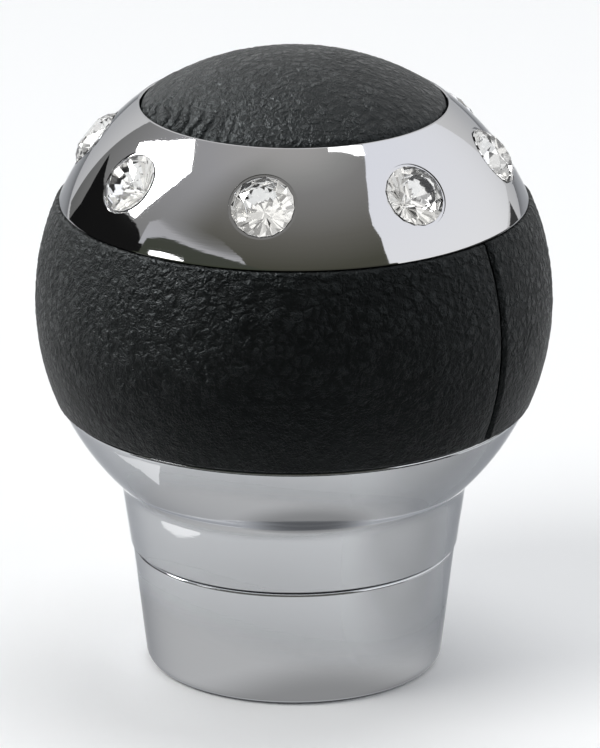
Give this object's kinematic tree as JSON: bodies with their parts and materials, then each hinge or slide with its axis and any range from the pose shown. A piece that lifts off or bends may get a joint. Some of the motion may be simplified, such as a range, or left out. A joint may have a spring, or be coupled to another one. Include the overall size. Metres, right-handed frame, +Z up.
{
  "type": "gear shift knob",
  "caption": "Ball-shaped gear shift knob with a leather band and cap, a chromed ring set with stones, a chromed neck and a threaded collar.",
  "frame": {"origin": "centre of the foot of the collar, on the axis of the lever", "axes": "+Z up the lever axis to the leather cap, -Y to the side that faces the camera, +X to its right"},
  "size_m": [0.054, 0.054, 0.0661],
  "materials": {
    "chrome": "polished chrome plating on a zinc casting",
    "band_leather": "near-black grained leather, semi-matt",
    "cap_leather": "near-black grained leather, semi-matt",
    "stone": "clear brilliant-cut glass with a silvered back",
    "core_plastic": "moulded black plastic",
    "sleeve_plastic": "moulded dark plastic",
    "rubber": "matt black rubber",
    "black_steel": "blackened steel",
    "zinc_steel": "zinc-plated steel"
  },
  "bodies": {
    "knob": {"bell_housing": "chrome", "set_screws": "black_steel", "adapter_sleeve": "sleeve_plastic", "core_drum": "core_plastic", "core_screws": "zinc_steel", "leather_band": "band_leather", "crystal_ring": "chrome", "ring_screws": "zinc_steel", "cap_plate": "core_plastic", "leather_cap": "cap_leather", "crystal_1": "stone", "crystal_2": "stone", "crystal_3": "stone", "crystal_4": "stone", "crystal_5": "stone", "crystal_6": "stone", "crystal_7": "stone", "crystal_8": "stone"},
    "washer": {"collar_washer": "rubber"},
    "collar": {"collar": "chrome"}
  },
  "joints": [
    {"name": "collar_travel", "type": "slide", "parent": "knob", "child": "washer", "axis": [0, 0, -1], "range_m": [0, 0.0075]},
    {"name": "collar_turn", "type": "hinge", "parent": "washer", "child": "collar", "pos_m": [0, 0, 0.006], "axis": [0, 0, -1], "range_deg": [0, 1800]}
  ],
  "couplings": [
    {"joint": "collar_travel", "follows": "collar_turn", "m_per_rad": 0.00023873}
  ]
}
